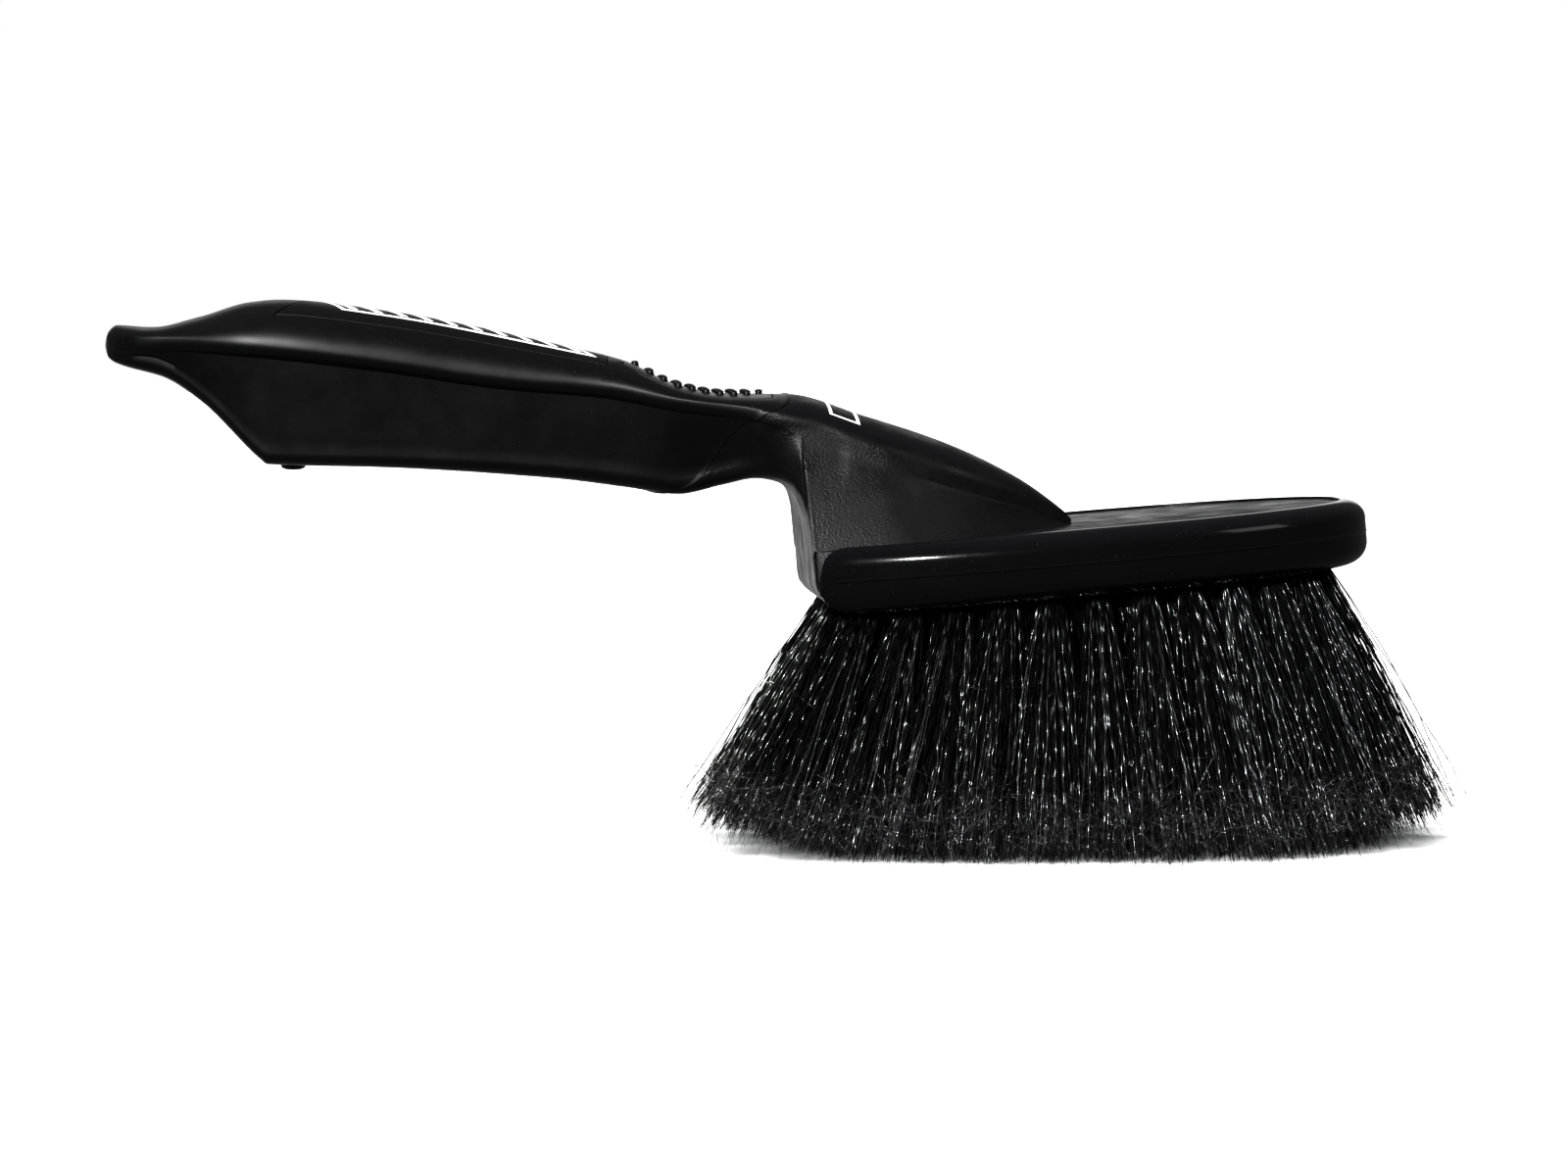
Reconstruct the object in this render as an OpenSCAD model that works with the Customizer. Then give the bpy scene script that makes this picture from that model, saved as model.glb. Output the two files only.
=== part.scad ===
// Wheel brush: an oval bristle head, a prow-shaped neck and a raised soft-grip handle.
// It stands on its bristle tips at z = 0, nose towards +X and handle towards -X.
// Every outline below is a short list of [station, value] pairs joined by smooth curves.

/* [Head] */
// Length of the head, from the heel wall to the nose
head_l = 115.5; // [110:0.5:120]
// Widest part of the head, over the bumper
head_w = 72; // [68:1:76]
// Thickness of the bristle block
block_t = 13.3; // [12:0.1:15]
// Upward tilt of the head towards its nose, in degrees
head_tilt = 4.6; // [3.5:0.1:5.5]
// Height of the underside above the bristle tips, at the heel
heel_h = 47.3; // [44:0.1:50]

/* [Bumper] */
// Width of the soft band, seen from above
bumper_w = 5; // [4:0.5:6]

/* [Bristles] */
// Diameter of a tuft hole
hole_d = 4.8; // [4:0.1:5.2]
// Depth of a tuft hole along its own axis
hole_depth = 8; // [6:0.5:9]
// Distance between tufts along a ring
tuft_pitch = 9.3; // [8.5:0.1:11]
// Distance between rings
ring_gap = 8.5; // [8:0.1:9]
// Diameter of a tuft where it meets the floor
tip_d = 12; // [8:0.5:12.5]

/* [Handle] */
// Thickness of the soft skin over the core
grip_skin = 2.5; // [2:0.1:3]
// Thickness of the inlays let into the top of the grip
inlay_t = 1.2; // [0.8:0.1:1.6]
// Diameter of the hang hole in the tail
hang_d = 8; // [6:0.5:9]

/* [Thumb rest] */
// Diameter of a stud
stud_d = 1.5; // [1.2:0.1:1.8]
// Distance between studs
stud_pitch = 2.8; // [2.6:0.1:3.2]
// Height of a stud above the pad
stud_h = 0.9; // [0.5:0.1:1.2]

/* [Hidden] */
$fn = 32;

moulding_black = [0.06, 0.06, 0.07];
grip_black = [0.09, 0.09, 0.10];
bristle_grey = [0.20, 0.20, 0.21];
steel_grey = [0.62, 0.63, 0.65];

heel_x = 6;          // the heel wall's plane, where it meets the underside's
heel_round = 7;      // radius of the edge between them
tip_margin = 0.05;   // play between a tuft or an anchor and its hole

// ---- Handle and neck outlines, in mm along the handle ----
// The ridge line on top, from the tail to the point of the prow
ridge = [[-136, 101.3], [-135.3, 103.8], [-133.6, 105.1], [-127, 104.7], [-117, 106.8],
         [-107, 109.7], [-101, 110.2], [-80, 108], [-40, 100], [-32, 98], [-21, 93],
         [-12, 91.2], [2, 91], [15.7, 87], [33.2, 81], [46.7, 74.3], [55, 68.2], [58.3, 64.9]];
// The bottom line, round the hook and the belly to the arch in front of the heel wall
base = [[-136, 100.7], [-135.3, 98.6], [-133.6, 97.4], [-124, 94.5], [-116.5, 89.5],
        [-105, 78], [-103.6, 77], [-80, 76.3], [-46, 74], [-31, 72.1], [-21, 70.7],
        [-12.4, 72.6], [-6, 73.9], [-2.8, 73.4], [-0.3, 72.1], [1.1, 69.9], [1.8, 67.5], [2.3, 63], [2.4, 58]];
// The crease between the rounded cap and the flat-sided web
crease = [[-136, 101], [-127, 101], [-107, 99.8], [-82, 97], [-57, 93.3], [-36, 91.4],
          [-21, 88.6], [-8, 87], [2, 84], [15.7, 79], [33.2, 73], [46.7, 69], [58.3, 64.6]];
// Half width of the cap
cap_w = [[-136, 0.4], [-135.3, 4.5], [-133, 8.8], [-129, 11.8], [-122, 13.6], [-106, 17.2],
         [-96, 17.6], [-60, 16.2], [-42, 15.8], [-15, 18], [2, 19.6], [18, 19.6], [33.2, 16],
         [46.7, 10], [55, 4.6], [58.3, 0.5]];
// Half width of the web just below the crease
web_w = [[-136, 0.4], [-135.3, 4.3], [-133, 8.2], [-129, 10.8], [-122, 11.4], [-106, 13.2],
         [-60, 12.4], [-42, 12.4], [-20, 14.5], [-6, 17.6], [2, 19.6], [18, 19.9], [33.2, 16.6],
         [46.7, 10.6], [55, 5], [58.3, 0.5]];
// Half width at the bottom of the web, and at the foot of the neck
foot_w = [[-136, 0.3], [-135.3, 3.6], [-133, 6.8], [-129, 8.8], [-118, 9], [-105, 8.5],
          [-60, 8.5], [-31, 9], [-20, 8.2], [-12, 9.5], [-2, 17], [2, 21.5], [2.4, 24.4], [16, 24.5],
          [33.2, 21.5], [46.7, 13.5], [55, 6], [58.3, 0.6]];
// How far the bottom edge is rounded up
round_h = [[-136, 0.3], [-133, 2], [-124, 3.5], [-100, 3.5], [-30, 4.5], [-5, 5], [2, 2], [3, 0.4]];

// The front edge of the soft skin: where it crosses the ridge, the crease and the bottom
seam_ridge = 2;
seam_crease = -7;
seam_base = -26;
slant_start = -62;   // behind this station the rings stand upright
lean_start = -30;    // ahead of this station they lean towards the heel wall
core_start = -114;   // rear end of the core bar
neck_h = 91;         // height at which the neck's stations are measured

// Stations of the rings, as [first, last, steps]
tail_spans = [[-135.9, -133, 5], [-131, -119, 5], [-117, -106.5, 5], [-105.5, -103, 4]];
panel_start = -102;
panel_end = -35;
pad_start = -32;
pad_end = -1.6;
inlay_step = 0.06;   // length of the steep wall round an inlay
panel_n = 14;        // steps along the panel
pad_n = 8;           // and along the pad

hang_x = -124;

// ---- Curves ----
function slope(p, i) = (p[i + 1][1] - p[i][1]) / (p[i + 1][0] - p[i][0]);
// Slope at a knot, flat where the curve turns, so that it never overshoots
function knot_slope(p, i) =
  i == 0 ? slope(p, 0) :
  i == len(p) - 1 ? slope(p, i - 1) :
  slope(p, i - 1) * slope(p, i) <= 0 ? 0 :
  2 * slope(p, i - 1) * slope(p, i) / (slope(p, i - 1) + slope(p, i));
function span_of(p, s, i = 0) = i >= len(p) - 2 || s < p[i + 1][0] ? i : span_of(p, s, i + 1);
// Smooth value at station s of a list of [station, value]
function at(p, s) =
  s <= p[0][0] ? p[0][1] :
  s >= p[len(p) - 1][0] ? p[len(p) - 1][1] :
  let(i = span_of(p, s), h = p[i + 1][0] - p[i][0], t = (s - p[i][0]) / h)
    (2 * pow(t, 3) - 3 * t * t + 1) * p[i][1] + (pow(t, 3) - 2 * t * t + t) * h * knot_slope(p, i)
    + (3 * t * t - 2 * pow(t, 3)) * p[i + 1][1] + (pow(t, 3) - t * t) * h * knot_slope(p, i + 1);
function ease(t) = let(u = max(0, min(1, t))) u * u * (3 - 2 * u);
function spans(list) =
  [for (l = list) for (i = [0 : l[2]]) l[0] + (l[1] - l[0]) * i / l[2]];

// ---- Cross-section of the handle and neck ----
patch_n = 4;   // steps from the ridge to the edge of an inlay
cap_n = 3;     // steps from there to the widest point of the cap
under_n = 2;   // steps round the overhang to the crease
web_n = 2;     // steps down the web
foot_n = 4;    // steps round the bottom edge
half_n = patch_n + 1 + cap_n + under_n + web_n + foot_n;
patch_angle = 50;    // how far round the cap an inlay reaches
cap_power = 2.3;     // squareness of the cap
foot_power = 3;      // squareness of the bottom edge

function in_inlay(s) = (s > panel_start && s < panel_end) || (s > pad_start && s < pad_end);
// Half angle of the inlay at station s: both inlays are rounded at their ends
function inlay_angle(s) =
  let(mid = s < (panel_end + pad_start) / 2 ? (panel_start + panel_end) / 2 : (pad_start + pad_end) / 2,
      half = s < (panel_end + pad_start) / 2 ? (panel_end - panel_start) / 2 : (pad_end - pad_start) / 2,
      t = min(1, abs(s - mid) / half))
  patch_angle * (0.6 + 0.4 * pow(1 - pow(t, 4), 0.5));
// Stations along an inlay, closer together where its ends curve
function inlay_stations(a, b, steps) =
  let(mid = (a + b) / 2, half = (b - a) / 2 - inlay_step) [for (i = [0 : steps]) mid - half * cos(180 * i / steps)];

// Point j of the half section at station s, as [y, z], with the surface moved in by inset.
// The ridge is point 0 and the bottom centre is point half_n.
function section_point(s, j, inset, sunk) =
  let(top = at(ridge, s) - inset,
      cw = at(cap_w, s) - inset,
      ww = min(cw, at(web_w, s) - inset),
      fw = at(foot_w, s) - (s > 0 ? 0 : inset),
      low = (s > 2.4 ? block_top(s) - 1 : at(base, s)) + (s > 0 ? 0 : inset),
      cr = min(at(crease, s), top - 0.2),
      wide = min(cr + 1.6, top - 0.1),
      under = max(cr - 0.9, low + 0.2),
      rise = min(at(round_h, s), under - low - 0.1),
      edge = inlay_angle(s),
      a = j <= patch_n ? edge * j / patch_n : edge + (90 - edge) * (j - patch_n - 1) / cap_n + 0.25,
      k = j - patch_n - 1 - cap_n,
      m = k - under_n,
      n = m - web_n)
  j == 0 ? [0, top - sunk] :
  j <= patch_n ? [(cw - sunk / 3) * pow(sin(a), 2 / cap_power), wide + (top - sunk - wide) * pow(cos(a), 2 / cap_power)] :
  k < 0 ? [cw * pow(sin(a), 2 / cap_power), wide + (top - wide) * pow(cos(a), 2 / cap_power)] :
  k <= under_n ? [ww + (cw - ww) * cos(90 * k / under_n), wide - (wide - under) * sin(90 * k / under_n)] :
  m <= web_n ? [ww + (fw - ww) * m / web_n, under + (low + rise - under) * m / web_n] :
  j == half_n ? [0, low] :
  [fw * pow(cos(90 * n / foot_n), 2 / foot_power), low + rise * (1 - pow(sin(90 * n / foot_n), 2 / foot_power))];

// Whole section: up the right side (-Y) is mirrored from the left, so both sides are alike
ring_n = 2 * half_n;
function side_of(j) = j <= half_n ? j : ring_n - j;
function sunk_at(s, j, inlay) = inlay && in_inlay(s) && j <= patch_n ? inlay_t : 0;

// Station of point j on the front edge of the soft skin
function seam_at(j) =
  let(widest = patch_n + 1 + cap_n, below = widest + under_n)
  j <= below ? seam_ridge + (seam_crease - seam_ridge) * pow(j / below, 2)
             : seam_crease + (seam_base - seam_crease) * pow((j - below) / (half_n - below), 0.8);
// Rings stand upright along the handle and slant gradually to meet the seam
function slanted(s, j) = s + (seam_at(j) - seam_ridge) * ease((s - slant_start) / (seam_ridge - slant_start));
// The neck leans with the tilted head
function leaning(s, z) = s + (neck_h - z) * tan(head_tilt) * ease((s - lean_start) / (seam_ridge - lean_start));
function place(s, p, side) = [leaning(s, p[1]), side * p[0], p[1]];

function skin_ring(s, inset, inlay) =
  [for (i = [0 : ring_n - 1])
    let(j = side_of(i), sj = slanted(s, j))
      place(sj, section_point(sj, j, inset, sunk_at(s, j, inlay)), i <= half_n ? 1 : -1)];
// Ahead of the seam the rings turn upright again before the heel wall
function neck_ring(t) =
  [for (i = [0 : ring_n - 1])
    let(j = side_of(i), from = seam_at(j), s = t <= 1 ? from + (2 - from) * t : 2 + (t - 1))
      place(s, section_point(s, j, 0, 0), i <= half_n ? 1 : -1)];

// ---- Polyhedra from rings of equal length ----
function band(a, b, n) =
  [for (i = [0 : n - 1]) let(k = (i + 1) % n) each [[a + i, b + i, b + k], [a + i, b + k, a + k]]];
function fan(tip, a, n, flip) =
  [for (i = [0 : n - 1]) let(k = (i + 1) % n) flip ? [tip, a + k, a + i] : [tip, a + i, a + k]];
// Rings in order, closed by a point at each end
module lofted(first, rings, last) {
  n = len(rings[0]);
  m = len(rings);
  polyhedron(
    points = [first, each [for (r = rings) each r], last],
    faces = [
      each fan(0, 1, n, true),
      each [for (i = [0 : m - 2]) each band(1 + i * n, 1 + (i + 1) * n, n)],
      each fan(1 + m * n, 1 + (m - 1) * n, n, false)
    ]);
}

// ---- Head outline, in the plane of the head: x from the heel wall, y across ----
wide_x = 58;         // where the head is widest
heel_taper = 0.25;   // share of the width lost at the heel
heel_power = 2.4;
nose_power = 2.2;
outline_n = 96;
half_head = head_w / 2;

// Point at u, from 0 at the right heel corner round the nose to 1 at the left heel corner
split = 0.45;        // share of the rim between the heel and the widest point
function rim(u) =
  let(side = u < 0.5 ? -1 : 1, v = 1 - abs(2 * u - 1))
  v < split
    ? let(x = wide_x * v / split)
        [x, side * half_head * (1 - heel_taper * pow(1 - x / wide_x, heel_power))]
    : let(a = 90 * (v - split) / (1 - split))
        [wide_x + (head_l - wide_x) * pow(sin(a), 2 / nose_power), side * half_head * pow(cos(a), 2 / nose_power)];
function rim_inset(u, d) =
  let(e = 0.002, a = rim(max(0, u - e)), b = rim(min(1, u + e)), t = (b - a) / norm(b - a))
    rim(u) + d * [-t[1], t[0]];
// The band is narrow at the heel, where the neck is nearly as wide as the head
band_heel = 0.5;
function band_w(u) = bumper_w * (band_heel + (1 - band_heel) * ease((1 - abs(2 * u - 1)) / split));
// Height of the head's underside at x, which rises round the heel's edge
function underside_at(x) =
  heel_round - sqrt(pow(heel_round, 2) - pow(heel_round - max(0, min(x, heel_round)), 2));
function block_top(s) = heel_h + (s + (neck_h - 66) * tan(head_tilt) - heel_x) * tan(head_tilt) + block_t / cos(head_tilt);

// ---- Tuft layout ----
edge_inset = 11;     // from the rim to the centres of the outer ring
heel_inset = 5;      // from the heel wall to the centres of the outer ring
splay_x = 1.405;     // how much wider the tips spread than the roots, along the head
splay_y = 1.76;      // and across it
root_centre = heel_inset + (head_l - edge_inset - heel_inset) / 2;

// Closed loop of one ring of tuft centres, starting at the middle of its heel side
function ring_loop(k) =
  let(d = edge_inset + k * ring_gap, h = heel_inset + k * ring_gap,
      side = [for (i = [0 : outline_n]) let(p = rim_inset(i / outline_n, d)) if (p[0] > h) p])
  [[h, 0], [h, side[0][1]], each side, [h, side[len(side) - 1][1]], [h, 0]];
function lengths(p) = [for (i = 0, t = 0; i < len(p); t = t + (i < len(p) - 1 ? norm(p[i + 1] - p[i]) : 0), i = i + 1) t];
// Point at distance d along polyline p, whose running lengths are q
function walk(p, q, d, i = 0) =
  i >= len(p) - 2 || d < q[i + 1]
    ? p[i] + (p[i + 1] - p[i]) * (d - q[i]) / max(0.001, q[i + 1] - q[i])
    : walk(p, q, d, i + 1);
function spaced(p) =
  let(q = lengths(p), total = q[len(q) - 1], n = round(total / tuft_pitch))
  [for (i = [0 : n - 1]) walk(p, q, total * (i + 0.5) / n)];
centre_n = 6;
centre_row = [for (i = [0 : centre_n - 1]) [root_centre + tuft_pitch * (i - (centre_n - 1) / 2), 0]];

outer_roots = spaced(ring_loop(0));
second_roots = spaced(ring_loop(1));
third_roots = spaced(ring_loop(2));
nose_zone = 80;      // tufts ahead of this are the nose's
function heel_zone(k) = heel_inset + k * ring_gap + 0.5;
function zone_roots(zone) =
  zone == "outer_heel" ? [for (p = outer_roots) if (p[0] < heel_zone(0)) p] :
  zone == "outer_right" ? [for (p = outer_roots) if (p[0] >= heel_zone(0) && p[0] <= nose_zone && p[1] < 0) p] :
  zone == "outer_left" ? [for (p = outer_roots) if (p[0] >= heel_zone(0) && p[0] <= nose_zone && p[1] > 0) p] :
  zone == "outer_nose" ? [for (p = outer_roots) if (p[0] > nose_zone) p] :
  zone == "second_right" ? [for (p = second_roots) if (p[0] <= nose_zone && p[1] < 0) p] :
  zone == "second_left" ? [for (p = second_roots) if (p[0] <= nose_zone && p[1] > 0) p] :
  zone == "second_nose" ? [for (p = second_roots) if (p[0] > nose_zone) p] :
  zone == "third_right" ? [for (p = third_roots) if (p[1] < 0) p] :
  zone == "third_left" ? [for (p = third_roots) if (p[1] > 0) p] :
  centre_row;

// A root on the underside, and the floor point that its tuft aims at
function root_at(p) = [heel_x + p[0] * cos(head_tilt), p[1], heel_h + p[0] * sin(head_tilt)];
foot_centre = heel_x + root_centre * cos(head_tilt);
function floor_at(p) = let(r = root_at(p)) [foot_centre + (r[0] - foot_centre) * splay_x, r[1] * splay_y, 0];

// Stands children, drawn along +Z, on a root and points them down the tuft
module along_tuft(p) {
  r = root_at(p);
  d = floor_at(p) - r;
  translate(r) rotate([0, acos(d[2] / norm(d)), atan2(d[1], d[0])]) children();
}
module in_head() {
  translate([heel_x, 0, heel_h]) rotate([0, -head_tilt, 0]) children();
}

// ---- Sub-parts ----
module block() {
  heel = half_head * (1 - heel_taper) - band_w(0);
  side = [for (i = [2 : outline_n - 2]) rim_inset(i / outline_n, band_w(i / outline_n))];
  in_head() difference() {
    linear_extrude(block_t) polygon(concat([[0, -heel]], side, [[0, heel]]));
    difference() {
      translate([-1, -head_w, -1]) cube([1 + heel_round, 2 * head_w, 1 + heel_round]);
      translate([heel_round, 0, heel_round]) rotate([90, 0, 0])
        cylinder(r = heel_round, h = 3 * head_w, center = true, $fn = 64);
    }
  }
}

module body_moulding() {
  core_stations = [core_start, -108, each spans([[-104, -103, 1], [-97, seam_ridge, 14]])];
  core_rings = [for (s = core_stations) skin_ring(s, grip_skin, false)];
  neck_steps = [0, 0.25, 0.5, 0.7, 0.82, 0.9, 0.95, 0.98, 1, 1.2, 1.4, 3, 6, 10, 15, 20, 26, 32, 38, 43, 48, 52, 55, 57];
  neck_rings = [for (t = neck_steps) neck_ring(t)];
  core_tip = [core_start - 1, 0, 93];
  prow = [61, 0, block_top(58.3) - 0.5];
  color(moulding_black)
  difference() {
    union() {
      block();
      lofted(core_tip, concat(core_rings, neck_rings), prow);
    }
    for (p = concat(outer_roots, second_roots, third_roots, centre_row))
      along_tuft(p) translate([0, 0, -hole_depth]) cylinder(d = hole_d, h = hole_depth + 4);
  }
}

module grip_overmould() {
  outer_stations = [
    each spans(tail_spans),
    panel_start - inlay_step, each inlay_stations(panel_start, panel_end, panel_n), panel_end + inlay_step,
    (panel_end + pad_start) / 2, pad_start - inlay_step, each inlay_stations(pad_start, pad_end, pad_n), pad_end + inlay_step,
    (pad_end + seam_ridge) / 2, seam_ridge];
  inner_stations = [core_start, -108, each spans([[-104, -103, 1], [-97, seam_ridge, 14]])];
  outer = [for (s = outer_stations) skin_ring(s, 0, true)];
  inner = [for (i = [len(inner_stations) - 1 : -1 : 0]) skin_ring(inner_stations[i], grip_skin, false)];
  color(grip_black)
  difference() {
    lofted([-136, 0, 101], concat(outer, inner), [core_start - 1, 0, 93]);
    translate([hang_x, 0, 80]) cylinder(d = hang_d, h = 40);
  }
}

// A curved plate that fills its pocket in the cap, from station a to station b
module inlay(a, b, steps) {
  stations = inlay_stations(a, b, steps);
  across = [for (j = [-patch_n : patch_n]) j];
  function strip(s, sunk) = [for (j = across)
    let(sj = slanted(s, abs(j))) place(sj, section_point(sj, abs(j), 0, sunk), j < 0 ? -1 : 1)];
  rings = [for (s = stations) concat(strip(s, 0), [for (i = [len(across) - 1 : -1 : 0]) strip(s, inlay_t)[i]])];
  n = len(rings[0]);
  m = len(rings);
  w = len(across);
  polyhedron(
    points = [for (r = rings) each r],
    faces = [
      each [for (i = [0 : m - 2]) each [for (f = band(i * n, (i + 1) * n, n)) [f[2], f[1], f[0]]]],
      each [for (i = [0 : w - 2]) each [[i + 1, i, n - 1 - i], [i + 1, n - 1 - i, n - 2 - i]]],
      each [for (i = [0 : w - 2]) let(e = (m - 1) * n)
        each [[e + i, e + i + 1, e + n - 1 - i], [e + i + 1, e + n - 2 - i, e + n - 1 - i]]]
    ]);
}

module top_panel() {
  color(moulding_black) inlay(panel_start, panel_end, panel_n);
}

// Rows of studs across the thumb rest, fewer towards its ends
module studs() {
  margin = 2.5;    // bare pad at each end
  rows = floor((pad_end - pad_start - 2 * margin) / stud_pitch);
  for (r = [0 : rows]) {
    s = (pad_start + pad_end) / 2 + (r - rows / 2) * stud_pitch;
    reach = (at(cap_w, s) - 8) * pow(1 - pow(abs(2 * r / rows - 1), 3), 0.5);
    count = floor(reach / stud_pitch);
    for (c = [-count : count]) {
      y = c * stud_pitch;
      cw = at(cap_w, s);
      top = at(ridge, s);
      wide = min(at(crease, s) + 1.6, top - 0.1);
      z = wide + (top - wide) * pow(1 - pow(abs(y) / cw, cap_power), 1 / cap_power);
      translate([leaning(s, z), y, z - 0.7]) {
        cylinder(d = stud_d, h = 0.7 + stud_h - stud_d / 4, $fn = 16);
        translate([0, 0, 0.7 + stud_h - stud_d / 4])
          cylinder(d1 = stud_d, d2 = stud_d * 0.6, h = stud_d / 4, $fn = 16);
      }
    }
  }
}

module thumb_pad() {
  color(grip_black) union() {
    inlay(pad_start, pad_end, pad_n);
    studs();
  }
}

// Rounded band swept along the rim from one heel corner to the other
module bumper() {
  top_round = 3.8;
  low_round = 4.6;
  rounded = 0.96;    // share of the band's width that is rounded
  steps = 5;
  // Section as [share of the band's width, height]
  section = [
    [1, 0],
    each [for (i = [0 : steps]) let(a = 90 * i / steps) [rounded * (1 - sin(a)), low_round * (1 - cos(a))]],
    each [for (i = [0 : steps]) let(a = 90 * i / steps) [rounded * (1 - cos(a)), block_t - top_round * (1 - sin(a))]],
    [1, block_t]];
  n = len(section);
  path_n = 64;
  heel_gap = 0.002;
  rings = [for (i = [0 : path_n]) let(u = heel_gap + (1 - 2 * heel_gap) * i / path_n)
    [for (q = section) let(p = rim_inset(u, q[0] * band_w(u))) [p[0], p[1], max(q[1], underside_at(p[0]))]]];
  color(grip_black) in_head() polyhedron(
    points = [for (r = rings) each r],
    faces = [
      each [for (i = [0 : path_n - 1]) each band((i + 1) * n, i * n, n)],
      each [for (i = [1 : n - 2]) [0, i + 1, i]],
      each [for (i = [1 : n - 2]) [path_n * n, path_n * n + i, path_n * n + i + 1]]
    ]);
}

anchor = [hole_d - 2 * tip_margin - 0.2, 0.5, 2];

module tufts(zone) {
  reach = 90;
  root_r = hole_d / 2 - tip_margin;
  color(bristle_grey)
  difference() {
    for (p = zone_roots(zone))
      along_tuft(p) difference() {
        drop = norm(floor_at(p) - root_at(p));
        union() {
          translate([0, 0, tip_margin - hole_depth]) cylinder(r = root_r, h = hole_depth);
          cylinder(r1 = root_r, r2 = root_r + (tip_d / 2 - root_r) * reach / drop, h = reach);
        }
        translate([-anchor[0], -anchor[1] / 2 - tip_margin, -hole_depth - 1])
          cube([2 * anchor[0], anchor[1] + 2 * tip_margin, anchor[2] + 1 + 2 * tip_margin]);
      }
    translate([-300, -300, -200]) cube([600, 600, 200]);
  }
}

module anchors(zone) {
  color(steel_grey)
  for (p = zone_roots(zone))
    along_tuft(p) translate([-anchor[0] / 2, -anchor[1] / 2, tip_margin - hole_depth]) cube(anchor);
}

body_moulding();
grip_overmould();
top_panel();
thumb_pad();
bumper();
tufts("outer_heel");  // tufts_outer_heel
tufts("outer_right");  // tufts_outer_right
tufts("outer_nose");  // tufts_outer_nose
tufts("outer_left");  // tufts_outer_left
tufts("second_right");  // tufts_second_right
tufts("second_nose");  // tufts_second_nose
tufts("second_left");  // tufts_second_left
tufts("third_right");  // tufts_third_right
tufts("third_left");  // tufts_third_left
tufts("centre");  // tufts_centre
anchors("outer_heel");  // anchors_outer_heel
anchors("outer_right");  // anchors_outer_right
anchors("outer_nose");  // anchors_outer_nose
anchors("outer_left");  // anchors_outer_left
anchors("second_right");  // anchors_second_right
anchors("second_nose");  // anchors_second_nose
anchors("second_left");  // anchors_second_left
anchors("third_right");  // anchors_third_right
anchors("third_left");  // anchors_third_left
anchors("centre");  // anchors_centre
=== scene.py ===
"""Looks of the wheel brush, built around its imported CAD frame.

Shapes are in millimetres until their mesh is made; lights and camera are in metres.
"""

import math

import bmesh
import bpy
import numpy as np
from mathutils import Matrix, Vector


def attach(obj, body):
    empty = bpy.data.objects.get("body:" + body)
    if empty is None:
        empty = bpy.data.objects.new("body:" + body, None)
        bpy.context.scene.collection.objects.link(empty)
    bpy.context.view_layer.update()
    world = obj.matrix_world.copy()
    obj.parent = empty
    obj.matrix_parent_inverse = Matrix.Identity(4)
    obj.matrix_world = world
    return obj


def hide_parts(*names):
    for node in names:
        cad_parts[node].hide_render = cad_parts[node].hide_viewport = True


MM = 0.001

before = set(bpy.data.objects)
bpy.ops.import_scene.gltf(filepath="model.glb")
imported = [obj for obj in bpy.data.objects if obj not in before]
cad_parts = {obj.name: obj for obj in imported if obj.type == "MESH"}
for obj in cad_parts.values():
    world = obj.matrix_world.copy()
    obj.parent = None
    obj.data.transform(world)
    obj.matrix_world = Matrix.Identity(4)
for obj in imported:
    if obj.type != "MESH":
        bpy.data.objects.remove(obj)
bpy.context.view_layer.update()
scene = bpy.context.scene

# ---- Driving sizes, the same as the CAD model's ----
HEAD_L = 115.5
HEAD_W = 72.0
BLOCK_T = 13.3
HEAD_TILT = math.radians(4.6)
HEEL_H = 47.3
HEEL_X = 6.0
HEEL_ROUND = 7.0
BUMPER_W = 5.0
HOLE_D = 4.8
HOLE_DEPTH = 8.0
TUFT_PITCH = 9.3
RING_GAP = 8.5
TIP_D = 12.0
GRIP_SKIN = 2.5
HANG_D = 8.0
HANG_X = -124.0
STUD_D = 1.5
STUD_PITCH = 2.8
STUD_H = 0.9

# ---- Handle and neck outlines, as (station, value) ----
RIDGE = [(-136, 101.3), (-135.3, 103.8), (-133.6, 105.1), (-127, 104.7), (-117, 106.8),
         (-107, 109.7), (-101, 110.2), (-80, 108), (-40, 100), (-32, 98), (-21, 93),
         (-12, 91.2), (2, 91), (15.7, 87), (33.2, 81), (46.7, 74.3), (55, 68.2), (58.3, 64.9)]
BASE = [(-136, 100.7), (-135.3, 98.6), (-133.6, 97.4), (-124, 94.5), (-116.5, 89.5),
        (-105, 78), (-103.6, 77), (-80, 76.3), (-46, 74), (-31, 72.1), (-21, 70.7),
        (-12.4, 72.6), (-6, 73.9), (-2.8, 73.4), (-0.3, 72.1), (1.1, 69.9), (1.8, 67.5),
        (2.3, 63), (2.4, 58)]
CREASE = [(-136, 101), (-127, 101), (-107, 99.8), (-82, 97), (-57, 93.3), (-36, 91.4),
          (-21, 88.6), (-8, 87), (2, 84), (15.7, 79), (33.2, 73), (46.7, 69), (58.3, 64.6)]
CAP_W = [(-136, 0.4), (-135.3, 4.5), (-133, 8.8), (-129, 11.8), (-122, 13.6), (-106, 17.2),
         (-96, 17.6), (-60, 16.2), (-42, 15.8), (-15, 18), (2, 19.6), (18, 19.6), (33.2, 16),
         (46.7, 10), (55, 4.6), (58.3, 0.5)]
WEB_W = [(-136, 0.4), (-135.3, 4.3), (-133, 8.2), (-129, 10.8), (-122, 11.4), (-106, 13.2),
         (-60, 12.4), (-42, 12.4), (-20, 14.5), (-6, 17.6), (2, 19.6), (18, 19.9), (33.2, 16.6),
         (46.7, 10.6), (55, 5), (58.3, 0.5)]
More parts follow.
